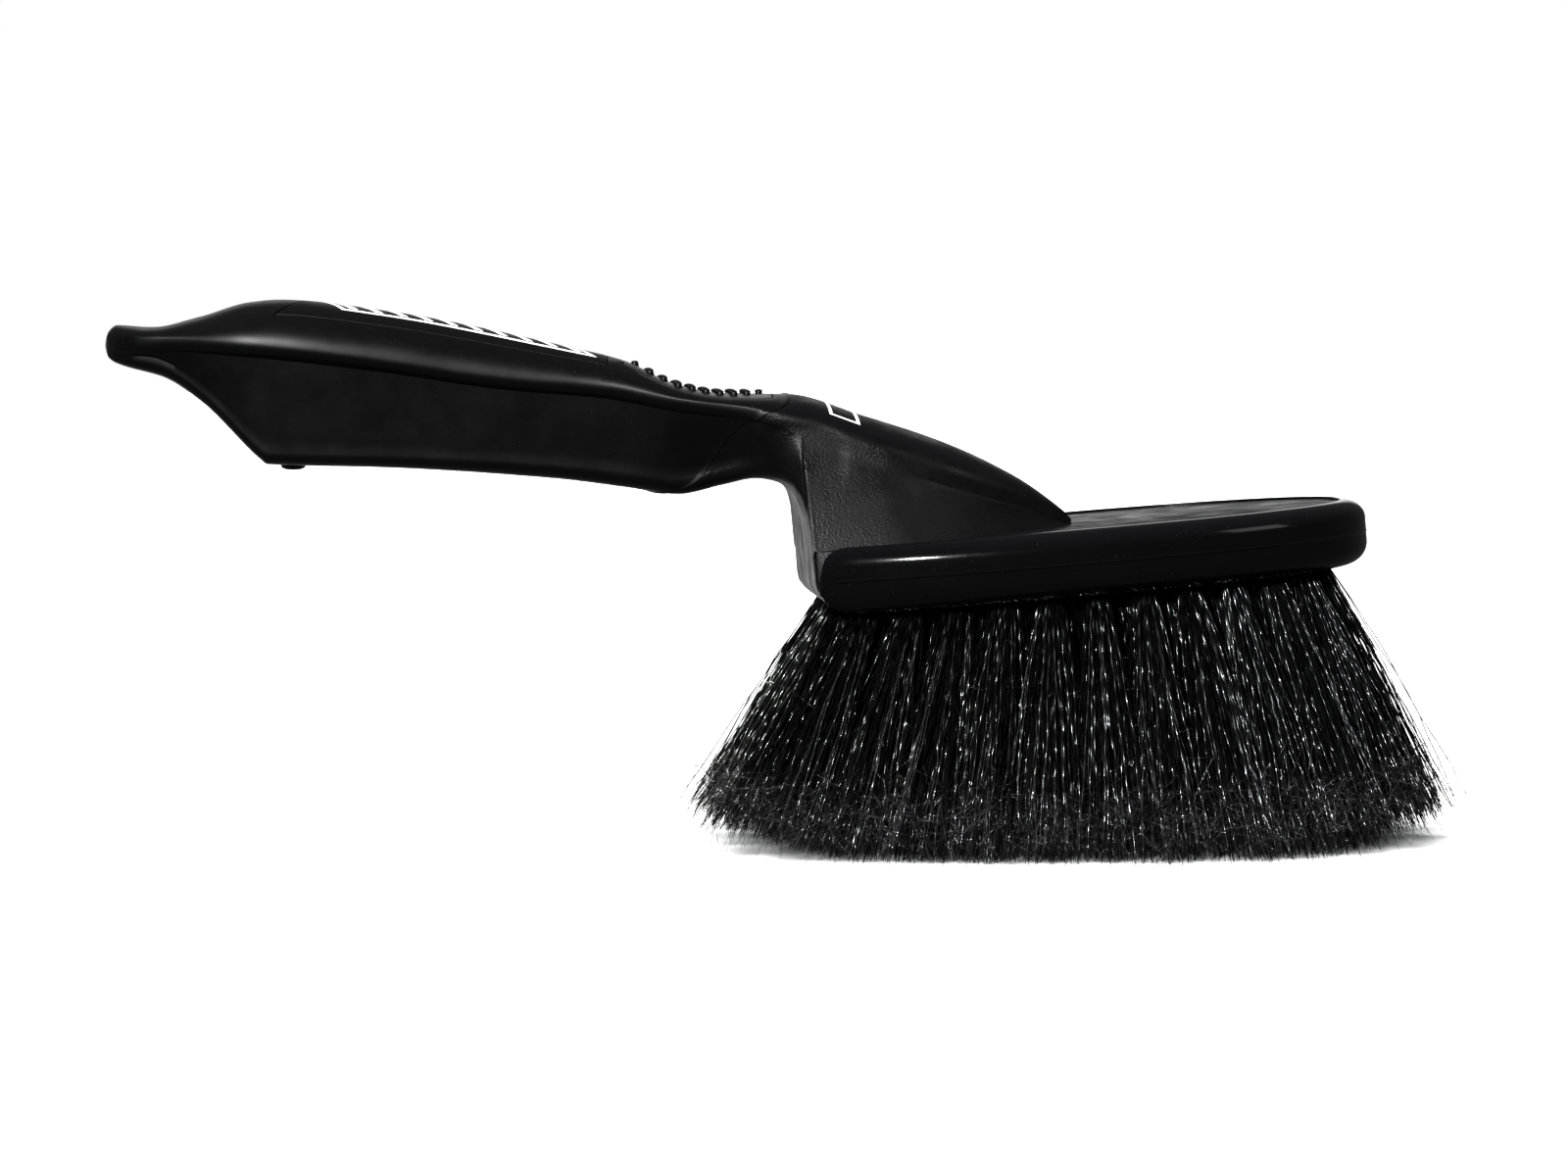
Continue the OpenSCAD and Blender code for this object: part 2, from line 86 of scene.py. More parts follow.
FOOT_W = [(-136, 0.3), (-135.3, 3.6), (-133, 6.8), (-129, 8.8), (-118, 9), (-105, 8.5),
          (-60, 8.5), (-31, 9), (-20, 8.2), (-12, 9.5), (-2, 17), (2, 21.5), (2.4, 24.4), (16, 24.5),
          (33.2, 21.5), (46.7, 13.5), (55, 6), (58.3, 0.6)]
ROUND_H = [(-136, 0.3), (-133, 2), (-124, 3.5), (-100, 3.5), (-30, 4.5), (-5, 5), (2, 2), (3, 0.4)]

SEAM_RIDGE = 2.0
SEAM_CREASE = -7.0
SEAM_BASE = -26.0
SLANT_START = -62.0
LEAN_START = -30.0
CORE_START = -114.0
NECK_H = 91.0
HEEL_WALL = 2.4       # station from which the neck stands on the block

PANEL_START = -102.0
PANEL_END = -35.0
PAD_START = -32.0
PAD_END = -1.6
PATCH_ANGLE = 50.0
CAP_POWER = 2.3
FOOT_POWER = 3.0

# Numbered points of the half section, from the ridge down to the bottom centre
Q_PATCH = 4
Q_WIDEST = 8
Q_BELOW = 10
Q_WEB = 12
Q_END = 16

# ---- Head outline ----
WIDE_X = 58.0
HEEL_TAPER = 0.25
HEEL_POWER = 2.4
NOSE_POWER = 2.2
SPLIT = 0.45
BAND_HEEL = 0.5

# ---- Tuft layout ----
EDGE_INSET = 11.0
HEEL_INSET = 5.0
SPLAY_X = 1.405
SPLAY_Y = 1.76
NOSE_ZONE = 80.0
CENTRE_N = 6


# ---------------------------------------------------------------- curves
def at(curve, s):
    """Smooth values at stations s of a list of (station, value); flat where the curve turns."""
    x, y = np.array(curve, float).T
    steps = np.diff(x)
    rises = np.diff(y) / steps
    slopes = np.empty_like(x)
    slopes[0], slopes[-1] = rises[0], rises[-1]
    before, after = rises[:-1], rises[1:]
    same = before * after > 0
    slopes[1:-1] = np.where(same, 2 * before * after / np.where(same, before + after, 1), 0)
    s = np.clip(np.asarray(s, float), x[0], x[-1])
    i = np.clip(np.searchsorted(x, s, side="right") - 1, 0, len(steps) - 1)
    h = steps[i]
    t = (s - x[i]) / h
    return ((2 * t**3 - 3 * t**2 + 1) * y[i] + (t**3 - 2 * t**2 + t) * h * slopes[i]
            + (3 * t**2 - 2 * t**3) * y[i + 1] + (t**3 - t**2) * h * slopes[i + 1])


def ease(t):
    u = np.clip(t, 0, 1)
    return u * u * (3 - 2 * u)


def span(a, b, n):
    """n equal steps from a to b, without b."""
    return list(np.linspace(a, b, n, endpoint=False))


# ---------------------------------------------------------------- sections of handle and neck
def block_top(s):
    run = s + (NECK_H - 66) * math.tan(HEAD_TILT) - HEEL_X
    return HEEL_H + run * math.tan(HEAD_TILT) + BLOCK_T / math.cos(HEAD_TILT)


def section(s, q, inset=0.0):
    """Half-section points q (0 ridge to Q_END bottom centre) at stations s, as y and z."""
    top = at(RIDGE, s) - inset
    cap = at(CAP_W, s) - inset
    web = np.minimum(cap, at(WEB_W, s) - inset)
    back = np.where(s > 0, 0, inset)
    foot = at(FOOT_W, s) - back
    low = np.where(s > HEEL_WALL, block_top(s) - 1, at(BASE, s)) + back
    crease = np.minimum(at(CREASE, s), top - 0.2)
    wide = np.minimum(crease + 1.6, top - 0.1)
    under = np.maximum(crease - 0.9, low + 0.2)
    rise = np.minimum(at(ROUND_H, s), under - low - 0.1)
    a = np.radians(np.where(q <= Q_PATCH, PATCH_ANGLE * q / Q_PATCH,
                            PATCH_ANGLE + (90 - PATCH_ANGLE) * (q - Q_PATCH) / (Q_WIDEST - Q_PATCH)))
    a = np.clip(a, 0, math.pi / 2)
    b = np.radians(90 * np.clip((q - Q_WIDEST) / (Q_BELOW - Q_WIDEST), 0, 1))
    m = np.clip((q - Q_BELOW) / (Q_WEB - Q_BELOW), 0, 1)
    c = np.radians(90 * np.clip((q - Q_WEB) / (Q_END - Q_WEB), 0, 1))
    y = np.select(
        [q <= Q_WIDEST, q <= Q_BELOW, q <= Q_WEB],
        [cap * np.sin(a) ** (2 / CAP_POWER), web + (cap - web) * np.cos(b), web + (foot - web) * m],
        foot * np.clip(np.cos(c), 0, 1) ** (2 / FOOT_POWER))
    z = np.select(
        [q <= Q_WIDEST, q <= Q_BELOW, q <= Q_WEB],
        [wide + (top - wide) * np.cos(a) ** (2 / CAP_POWER), wide - (wide - under) * np.sin(b),
         under + (low + rise - under) * m],
        low + rise * (1 - np.sin(c) ** (2 / FOOT_POWER)))
    return y, z


def seam_at(q):
    """Station of point q on the front edge of the soft skin."""
    upper = SEAM_RIDGE + (SEAM_CREASE - SEAM_RIDGE) * (np.minimum(q, Q_BELOW) / Q_BELOW) ** 2
    lower = np.clip((q - Q_BELOW) / (Q_END - Q_BELOW), 0, 1) ** 0.8
    return upper + (SEAM_BASE - SEAM_CREASE) * lower


def slanted(s, q):
    return s + (seam_at(q) - SEAM_RIDGE) * ease((s - SLANT_START) / (SEAM_RIDGE - SLANT_START))


def leaning(s, z):
    return s + (NECK_H - z) * math.tan(HEAD_TILT) * ease((s - LEAN_START) / (SEAM_RIDGE - LEAN_START))


NOTCH = 7.0           # the panel's rear edge is a V this deep
NOTCH_REACH = 15.0    # how far the V's bend reaches along the cap


def notched(s, q):
    """Bends the stations forward near the ridge, so that a ring follows the panel's rear V."""
    near = ease(1 - abs(s - PANEL_START) / NOTCH_REACH)
    return s + NOTCH * near * np.clip(1 - q / Q_PATCH, 0, 1)


def surface(s, q, inset=0.0):
    """Points on the handle at stations s and section points q, on the left side (+Y)."""
    sq = slanted(notched(s, q), q)
    y, z = section(sq, q, inset)
    return np.stack([leaning(sq, z), y, z], -1)


# ---------------------------------------------------------------- meshes
def new_object(name, mesh, material):
    mesh.materials.clear()
    mesh.materials.append(material)
    piece = bpy.data.objects.new(name, mesh)
    scene.collection.objects.link(piece)
    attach(piece, "root")
    return piece


def mesh_of(name, points, faces, sharp=35.0):
    """A smooth-shaded mesh from points in millimetres, with edges sharper than an angle kept crisp."""
    mesh = bpy.data.meshes.new(name)
    mesh.from_pydata([tuple(p) for p in np.asarray(points, float) * MM], [], faces)
    mesh.validate()
    tidy_mesh(mesh, sharp)
    return mesh


def tidy_mesh(mesh, sharp):
    """Welds doubles, turns the normals outward and marks the sharp edges."""
    work = bmesh.new()
    work.from_mesh(mesh)
    bmesh.ops.remove_doubles(work, verts=work.verts, dist=1e-6)
    bmesh.ops.dissolve_degenerate(work, edges=work.edges, dist=1e-7)
    bmesh.ops.recalc_face_normals(work, faces=work.faces)
    for face in work.faces:
        face.smooth = True
    for edge in work.edges:
        edge.smooth = len(edge.link_faces) == 2 and edge.calc_face_angle(0) < math.radians(sharp)
    work.to_mesh(mesh)
    work.free()


def grid_faces(rows, columns, closed):
    """Quads between rows of points; closed joins each row's last point to its first."""
    faces = []
    for i in range(rows - 1):
        for j in range(columns if closed else columns - 1):
            k = (j + 1) % columns
            faces.append((i * columns + j, i * columns + k, (i + 1) * columns + k, (i + 1) * columns + j))
    return faces


def loft(name, rings, sharp=35.0):
    """A closed mesh through rings of equal length, each end closed by a fan to its middle."""
    n = len(rings[0])
    points = np.concatenate(list(rings) + [[np.mean(rings[0], 0)], [np.mean(rings[-1], 0)]])
    faces = grid_faces(len(rings), n, True)
    first, last = len(rings) * n, len(rings) * n + 1
    base = (len(rings) - 1) * n
    for j in range(n):
        k = (j + 1) % n
        faces.append((first, k, j))
        faces.append((last, base + j, base + k))
    return mesh_of(name, points, faces, sharp)


def both_sides(half):
    """A whole ring from a half ring that starts at the ridge and ends at the bottom centre."""
    mirrored = half[-2:0:-1] * (1, -1, 1)
    return np.concatenate([half, mirrored])


def boolean(target, cutter):
    """Cuts one mesh object by another and removes the cutter."""
    step = target.modifiers.new("cut", "BOOLEAN")
    step.operation = "DIFFERENCE"
    step.solver = "EXACT"
    step.object = cutter
    bpy.context.view_layer.update()
    shown = target.evaluated_get(bpy.context.evaluated_depsgraph_get())
    cut = bpy.data.meshes.new_from_object(shown)
    target.modifiers.clear()
    target.data = cut
    bpy.data.objects.remove(cutter)


# Section points used for the smooth meshes
CAP_QS = span(0, 0.5, 4) + span(0.5, Q_PATCH, 12)
SIDE_QS = span(Q_PATCH, Q_WIDEST, 10) + span(Q_WIDEST, Q_BELOW, 8)
WEB_QS = span(Q_BELOW, Q_WEB, 10) + span(Q_WEB, Q_END, 12) + [Q_END]
SECTION_QS = np.array(CAP_QS + SIDE_QS + WEB_QS)


# ---------------------------------------------------------------- head outline
def rim(u):
    """Head outline from the right heel corner (u 0) round the nose to the left one (u 1)."""
    side = -1 if u < 0.5 else 1
    v = 1 - abs(2 * u - 1)
    half = HEAD_W / 2
    if v < SPLIT:
        x = WIDE_X * v / SPLIT
        return np.array([x, side * half * (1 - HEEL_TAPER * (1 - x / WIDE_X) ** HEEL_POWER)])
    a = math.pi / 2 * (v - SPLIT) / (1 - SPLIT)
    return np.array([WIDE_X + (HEAD_L - WIDE_X) * math.sin(a) ** (2 / NOSE_POWER),
                     side * half * max(0.0, math.cos(a)) ** (2 / NOSE_POWER)])


def rim_inset(u, d):
    e = 0.002
    a, b = rim(max(0, u - e)), rim(min(1, u + e))
    t = (b - a) / np.linalg.norm(b - a)
    return rim(u) + d * np.array([-t[1], t[0]])


def band_w(u):
    return BUMPER_W * (BAND_HEEL + (1 - BAND_HEEL) * float(ease((1 - abs(2 * u - 1)) / SPLIT)))


def in_head(points):
    """Turns points from the head's own frame into the brush's."""
    p = np.asarray(points, float)
    c, s = math.cos(HEAD_TILT), math.sin(HEAD_TILT)
    return np.stack([HEEL_X + p[..., 0] * c - p[..., 2] * s, p[..., 1],
                     HEEL_H + p[..., 0] * s + p[..., 2] * c], -1)


# ---------------------------------------------------------------- tuft layout
ROOT_CENTRE = HEEL_INSET + (HEAD_L - EDGE_INSET - HEEL_INSET) / 2
FOOT_CENTRE = HEEL_X + ROOT_CENTRE * math.cos(HEAD_TILT)


def ring_roots(k):
    """Centres of the tufts of ring k, in the plane of the head."""
    d, h = EDGE_INSET + k * RING_GAP, HEEL_INSET + k * RING_GAP
    side = [p for p in (rim_inset(i / 96, d) for i in range(97)) if p[0] > h]
    path = np.array([(h, 0), (h, side[0][1]), *side, (h, side[-1][1]), (h, 0)])
    run = np.concatenate([[0], np.cumsum(np.linalg.norm(np.diff(path, axis=0), axis=1))])
    n = round(run[-1] / TUFT_PITCH)
    places = run[-1] * (np.arange(n) + 0.5) / n
    return np.stack([np.interp(places, run, path[:, i]) for i in (0, 1)], -1)


def tuft_zones():
    """Each zone's tuft roots, named as the CAD nodes are."""
    zones = {}
    for k, ring in enumerate(("outer", "second", "third")):
        for x, y in ring_roots(k):
            side = "right" if y < 0 else "left"
            if k == 0 and x < HEEL_INSET + 0.5:
                side = "heel"
            elif k < 2 and x > NOSE_ZONE:
                side = "nose"
            zones.setdefault(f"{ring}_{side}", []).append((x, y))
    centre = [(ROOT_CENTRE + TUFT_PITCH * (i - (CENTRE_N - 1) / 2), 0.0) for i in range(CENTRE_N)]
    zones["centre"] = centre
    return zones


def root_at(p):
    return np.array([HEEL_X + p[0] * math.cos(HEAD_TILT), p[1], HEEL_H + p[0] * math.sin(HEAD_TILT)])


def floor_at(p):
    r = root_at(p)
    return np.array([FOOT_CENTRE + (r[0] - FOOT_CENTRE) * SPLAY_X, r[1] * SPLAY_Y, 0.0])


# ---------------------------------------------------------------- materials
# The printed marks: a bar of strokes on the panel and a plain outline on the neck
WHITE_INK = (0.9, 0.9, 0.9, 1)
PRINT_X = -67.0
PRINT_L = 51.0
PRINT_W = 18.0
PRINT_LINE = 1.1
STROKE_PITCH = 5.0
STROKE_SHARE = 0.34
BADGE_X = 12.0
BADGE_L = 6.2
BADGE_W = 32.0
BADGE_LINE = 0.7
BADGE_Z = 80.0

# The filaments' crimp: pitch in millimetres, depth in metres, and spread of phase in radians
CRIMP = 4.4
CRIMP_DEEP = 0.00015
CRIMP_PHASE = 9.0


class Nodes:
    """Short names for building a material's node tree."""

    def __init__(self, name):
        self.material = bpy.data.materials.new(name)
        self.material.use_nodes = True
        self.tree = self.material.node_tree
        self.shader = self.tree.nodes["Principled BSDF"]
        self.place = self.tree.nodes.new("ShaderNodeTexCoord").outputs["Object"]

    def add(self, kind, **sockets):
        node = self.tree.nodes.new(kind)
        for key, value in sockets.items():
            self.put(node.inputs[key.replace("_", " ")], value)
        return node

    def put(self, socket, value):
        if isinstance(value, bpy.types.NodeSocket):
            self.tree.links.new(value, socket)
        else:
            socket.default_value = value

    def maths(self, operation, *values):
        node = self.tree.nodes.new("ShaderNodeMath")
        node.operation = operation
        for socket, value in zip(node.inputs, values):
            self.put(socket, value)
        return node.outputs[0]

    def noise(self, scale, detail=3.0, roughness=0.5):
        node = self.add("ShaderNodeTexNoise", Vector=self.place, Scale=scale, Detail=detail,
                        Roughness=roughness)
        return node.outputs["Fac"]

    def cells(self, scale):
        return self.add("ShaderNodeTexVoronoi", Vector=self.place, Scale=scale).outputs["Distance"]

    def spread(self, value, low, high, to_low, to_high):
        node = self.tree.nodes.new("ShaderNodeMapRange")
        for socket, number in zip(node.inputs, (value, low, high, to_low, to_high)):
            self.put(socket, number)
        return node.outputs[0]

    def mix(self, factor, a, b):
        node = self.tree.nodes.new("ShaderNodeMix")
        node.data_type = "RGBA"
        self.put(node.inputs[0], factor)
        self.put(node.inputs[6], a)
        self.put(node.inputs[7], b)
        return node.outputs[2]

    def bump(self, height, distance, strength=1.0, under=None):
        node = self.add("ShaderNodeBump", Height=height, Distance=distance, Strength=strength)
        if under is not None:
            self.put(node.inputs["Normal"], under)
        return node.outputs["Normal"]

    def surface(self, **sockets):
        for key, value in sockets.items():
            self.put(self.shader.inputs[key.replace("_", " ")], value)
        return self.material


def bar(n, along, across, middle, length, width, line):
    """Outline of a bar of a length and width round a middle, and the field inside it."""
    run = n.maths("ABSOLUTE", n.maths("SUBTRACT", along, middle))
    side = n.maths("ABSOLUTE", across)
    whole = n.maths("MULTIPLY", n.maths("LESS_THAN", run, length / 2), n.maths("LESS_THAN", side, width / 2))
    core = n.maths("MULTIPLY", n.maths("LESS_THAN", run, length / 2 - line),
                   n.maths("LESS_THAN", side, width / 2 - line))
    field = n.maths("MULTIPLY", n.maths("LESS_THAN", run, length / 2 - 1.8 * line),
                    n.maths("LESS_THAN", side, width / 2 - 1.8 * line))
    return n.maths("SUBTRACT", whole, core), field


def in_mm(n):
    """The object's own x, y and z in millimetres."""
    parts = n.add("ShaderNodeSeparateXYZ", Vector=n.place).outputs
    return [n.maths("MULTIPLY", parts[i], 1000.0) for i in range(3)]


def moulded(name, tone, rough, vary, grain, depth, wave, dust, marked=False):
    """Black moulded plastic or rubber: grain, patchy gloss and a few pale specks of dust."""
    n = Nodes(name)
    grained = n.bump(n.noise(grain, 2.0), depth)
    waved = n.bump(n.noise(90.0, 2.0), wave, 1.0, grained)
    gloss = n.spread(n.noise(140.0, 5.0, 0.6), 0.3, 0.7, rough - vary, rough + vary)
    specks = n.spread(n.noise(2600.0, 1.0), 0.76, 0.80, 0.0, dust)
    worn = n.spread(n.noise(60.0, 6.0, 0.65), 0.35, 0.75, 0.0, 0.5)
    body = n.mix(worn, (*tone, 1), (*[1.6 * c for c in tone], 1))
    colour = n.mix(specks, body, (0.25, 0.24, 0.23, 1))
    if marked:
        x, y, z = in_mm(n)
        outline, _ = bar(n, x, y, BADGE_X, BADGE_L, BADGE_W, BADGE_LINE)
        above = n.maths("GREATER_THAN", z, BADGE_Z)
        colour = n.mix(n.maths("MULTIPLY", outline, above), colour, WHITE_INK)
    return n.surface(Base_Color=colour, Roughness=gloss, Normal=waved, Specular_IOR_Level=0.35)


def printed(name, tone, rough):
    """The panel's smooth plastic with a plain white outlined bar of slanted strokes printed on it."""
    n = Nodes(name)
    x, y, _ = in_mm(n)
    slant = n.maths("ADD", x, n.maths("MULTIPLY", y, 0.45))
    outline, field = bar(n, slant, y, PRINT_X, PRINT_L, PRINT_W, PRINT_LINE)
    stroke = n.maths("LESS_THAN", n.maths("FRACT", n.maths("DIVIDE", slant, STROKE_PITCH)), STROKE_SHARE)
    ink = n.maths("ADD", outline, n.maths("MULTIPLY", field, stroke))
    grained = n.bump(n.noise(2600.0, 2.0), 0.00001)
    gloss = n.spread(n.noise(140.0, 5.0, 0.6), 0.3, 0.7, rough - 0.05, rough + 0.07)
    colour = n.mix(ink, (*tone, 1), WHITE_INK)
    return n.surface(Base_Color=colour, Roughness=gloss, Normal=grained, Specular_IOR_Level=0.35)


def filament(name, root_tone, tip_tone, rough, specular, ior=1.5):
    """Crimped black filament that pales a little towards its tip."""
    n = Nodes(name)
    along = n.add("ShaderNodeAttribute")
    along.attribute_name = "along"
    strand = n.add("ShaderNodeAttribute")
    strand.attribute_name = "strand"
    down, own = along.outputs["Fac"], strand.outputs["Fac"]
    turn = n.maths("ADD", n.maths("MULTIPLY", down, 2 * math.pi / CRIMP),
                   n.maths("MULTIPLY", own, CRIMP_PHASE))
    crimped = n.bump(n.maths("SINE", turn), CRIMP_DEEP)
    pale = n.spread(down, 32.0, 50.0, 0.0, 1.0)
    tone = n.mix(pale, (*root_tone, 1), (*tip_tone, 1))
    return n.surface(Base_Color=tone, Roughness=rough, Normal=crimped,
                     Specular_IOR_Level=specular, IOR=ior)


def steel(name):
    """Galvanised flat wire with a finely uneven tone and gloss."""
    n = Nodes(name)
    lines = n.noise(3000.0, 4.0)
    gloss = n.spread(lines, 0.3, 0.7, 0.28, 0.5)
    colour = n.mix(lines, (0.42, 0.43, 0.45, 1), (0.62, 0.63, 0.65, 1))
    return n.surface(Base_Color=colour, Roughness=gloss, Metallic=1.0, Normal=n.bump(lines, 0.00001))


moulding_pp = moulded("moulding_pp", (0.0018, 0.0018, 0.0021), 0.42, 0.14, 2200.0, 0.9e-4, 5e-5, 0.0, True)
grip_tpr = moulded("grip_tpr", (0.0016, 0.0016, 0.0017), 0.38, 0.06, 3200.0, 8e-6, 6e-5, 0.15)
bumper_tpr = moulded("bumper_tpr", (0.0019, 0.0019, 0.0022), 0.11, 0.03, 3200.0, 5e-6, 1.5e-5, 0.12)
panel_pp = printed("panel_pp", (0.0018, 0.0018, 0.0020), 0.46)
bristle_pbt = filament("bristle_pbt", (0.0008, 0.0008, 0.0009), (0.004, 0.004, 0.0042), 0.50, 0.10)
glossy_pbt = filament("bristle_glossy_pbt", (0.0015, 0.0015, 0.0016), (0.006, 0.006, 0.0062), 0.20, 1.0, 2.1)
tip_pbt = filament("bristle_tip_pbt", (0.008, 0.008, 0.008), (0.020, 0.020, 0.021), 0.30, 1.0, 2.1)
anchor_steel = steel("anchor_steel")


# ---------------------------------------------------------------- handle
POCKET = 1.0          # depth of an inlay's pocket in the skin
WALL = 0.03           # width of the pocket's wall, in section points
EDGE_STEP = 0.05      # and along the handle
LIP = 0.22            # how far the skin's front edge stands proud of the neck
GATE_X = -98.5        # the moulding gate's stub under the grip
GATE_STUB = [(2.6, -0.6), (2.5, 0.25), (2.2, 0.6), (1.5, 0.85), (0.6, 0.95)]   # as (radius, depth)
# Shares of the inlay's half width, and of the cap beside it, where section points lie
INSIDE = np.array([0, 0.03, 0.08, 0.15, 0.23, 0.32, 0.41, 0.5, 0.59, 0.68, 0.76, 0.83, 0.89, 0.94, 0.97, 1.0])
BESIDE = np.array([0, 0.02, 0.05, 0.1, 0.17, 0.26, 0.36, 0.47, 0.58, 0.69, 0.8, 0.9, 0.96])


def edge_share(s):
    """How far round the cap an inlay reaches at station s, as a share of its widest."""
    if s <= PANEL_END:
        return 1.0
    if s < PAD_START:
        return 1.0 - 0.4 * float(ease((s - PANEL_END) / (PAD_START - PANEL_END)))
    middle, half = (PAD_START + PAD_END) / 2, (PAD_END - PAD_START) / 2
    return 0.6 + 0.4 * math.sqrt(1 - min(1.0, abs(s - middle) / half) ** 4)


def in_inlay(s):
    return PANEL_START < s < PANEL_END or PAD_START < s < PAD_END


def skin_qs(s):
    """Section points of the skin's ring at station s, closest together at the inlay's edge."""
    edge = Q_PATCH * edge_share(s)
    beside = edge + WALL + (Q_WIDEST - edge - WALL) * BESIDE
    return np.concatenate([INSIDE * edge, beside, span(Q_WIDEST, Q_BELOW, 8), WEB_QS])


def skin_ring(s):
    q = skin_qs(s)
    sunk = np.where((np.arange(len(q)) < len(INSIDE)) & in_inlay(s), POCKET, 0.0)
    return both_sides(surface(np.full(len(q), s), q, sunk))


def inlay_stations(start, end, n):
    """Stations along a pocket, with a steep wall at each end."""
    inner = np.linspace(start + EDGE_STEP, end - EDGE_STEP, n)
    return [start - EDGE_STEP, *inner, end + EDGE_STEP]


def make_grip():
    """The soft skin: one smooth shell with a raised front lip, hollow for the core bar."""
    stations = (span(-135.98, -133, 14) + span(-133, -119, 14) + span(-119, -107, 16)
                + span(-107, PANEL_START - 0.2, 16) + inlay_stations(PANEL_START, PANEL_END, 70)
                + inlay_stations(PAD_START, PAD_END, 44) + [-0.8, -0.2])
    outer = [skin_ring(s) for s in stations]
    q = skin_qs(SEAM_RIDGE)
    lip = [(-1.6, 0.0), (-1.1, -LIP * 0.5), (-0.7, -LIP), (-0.35, -LIP), (-0.15, -LIP * 0.4),
           (-0.1, 0.5), (-0.1, 1.2)]
    outer += [both_sides(surface(np.full(len(q), SEAM_RIDGE + d), q, i)) for d, i in lip]
    inner_stations = [SEAM_RIDGE - 0.1] + span(-2, -97, 14) + [-103, -104, -108, CORE_START]
    inner = [both_sides(surface(np.full(len(q), s), q, GRIP_SKIN)) for s in inner_stations]
    mesh = loft("grip_overmould_skin", outer + inner)
    grip = new_object("grip_overmould_skin", mesh, grip_tpr)
    hole = disc_mesh("cutter", HANG_X, [(HANG_D / 2, 80.0), (HANG_D / 2, 120.0)])
    cutter = bpy.data.objects.new("cutter", hole)
    scene.collection.objects.link(cutter)
    boolean(grip, cutter)
    low = float(at(BASE, GATE_X))
    join_mesh(grip, disc_mesh("stub", GATE_X, [(radius, low - down) for radius, down in GATE_STUB]))
    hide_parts("grip_overmould")


def disc_mesh(name, x, profile, sides=64):
    """A round upright solid at station x, from a profile of (radius, height)."""
    around = np.linspace(0, 2 * math.pi, sides, endpoint=False)
    rings = [np.stack([x + r * np.cos(around), r * np.sin(around), np.full(sides, z)], -1)
             for r, z in profile]
    return loft(name, rings)


def join_mesh(piece, extra):
    """Adds a second closed shell to a piece's mesh."""
    work = bmesh.new()
    work.from_mesh(piece.data)
    work.from_mesh(extra)
    joined = bpy.data.meshes.new(piece.name)
    work.to_mesh(joined)
    work.free()
    joined.materials.append(piece.data.materials[0])
    piece.data = joined
    tidy_mesh(joined, 35.0)


make_grip()


DISH_AT = (3.0, 78.5)      # middle of the shallow finger dish on the neck's side, as x and z
DISH_HALF = (10.0, 8.0)
DISH_CORNER = 7.5
DISH_DEEP = 0.35


def dished(points):
    """Presses a shallow dish with rounded corners into both sides of the neck."""
    x, y, z = points.T
    gap_x = abs(x - DISH_AT[0]) - DISH_HALF[0] + DISH_CORNER
    gap_z = abs(z - DISH_AT[1]) - DISH_HALF[1] + DISH_CORNER
    outside = np.hypot(np.maximum(gap_x, 0), np.maximum(gap_z, 0)) - DISH_CORNER
    depth = DISH_DEEP * ease(-outside / 2.4) * ease((abs(y) - 12) / 4)
    return np.stack([x, y - np.sign(y) * depth, z], -1)


def make_neck_rings():
    q = SECTION_QS
    steps = (span(0, 0.7, 24) + span(0.7, 0.95, 16) + span(0.95, 1.0, 8) + span(1, 1.4, 14)
             + span(1.4, 6, 12) + span(6, 52, 56) + span(52, 57.2, 12))
    rings = []
    for t in steps:
        start = seam_at(q)
        s = start + (2 - start) * t if t <= 1 else np.full(len(q), 2 + (t - 1))
        y, z = section(s, q)
        rings.append(dished(both_sides(np.stack([leaning(s, z), y, z], -1))))
    return rings


BLOCK_SUNK = 0.5      # how far the block's top lies below the bumper's


def underside_at(x):
    """Height of the head's underside at x, which rises round the heel's edge."""
    low = HEEL_ROUND - np.clip(x, 0, HEEL_ROUND)
    return HEEL_ROUND - np.sqrt(HEEL_ROUND**2 - low**2)


def make_block():
    """The oval block with softened edges; make_body cuts a blind hole in it for each tuft."""
    steps = 180
    us = np.linspace(0.02, 0.98, steps)
    side = np.array([rim_inset(u, band_w(u)) for u in us])
    heel = HEAD_W / 2 * (1 - HEEL_TAPER) - band_w(0)
    corner = [(1.0, 0.0), (0.55, 0.12), (0.25, 0.4), (0.08, 0.8), (0.0, 1.4)]
    right = [(x, -heel + y) for x, y in corner[::-1]]
    left = [(x, heel - y) for x, y in corner]
    across = [(0, heel * f) for f in (0.75, 0.4, 0.0, -0.4, -0.75)]
    outline = np.concatenate([right, side, left, across])
    edge = 0.6
    middle = np.array([HEAD_L * 0.45, 0])
    top = BLOCK_T - BLOCK_SUNK
    levels = [(edge, 0.0), (edge * 0.3, edge * 0.3), (0.0, edge)]
    levels += [(0.0, z) for z in np.linspace(edge, HEEL_ROUND, 12)[1:]]
    levels += [(0.0, top - edge), (edge * 0.3, top - edge * 0.3), (edge, top)]
    rings = []
    for pull, z in levels:
        away = outline - middle
        shrunk = middle + away * (1 - pull / np.linalg.norm(away, axis=1))[:, None]
        low = max(0.0, HEEL_ROUND - z)
        back = HEEL_ROUND - math.sqrt(HEEL_ROUND**2 - low**2)
        shrunk[:, 0] = np.maximum(shrunk[:, 0], back)
        rings.append(in_head(np.column_stack([shrunk, np.full(len(shrunk), z)])))
    return loft("block", rings)


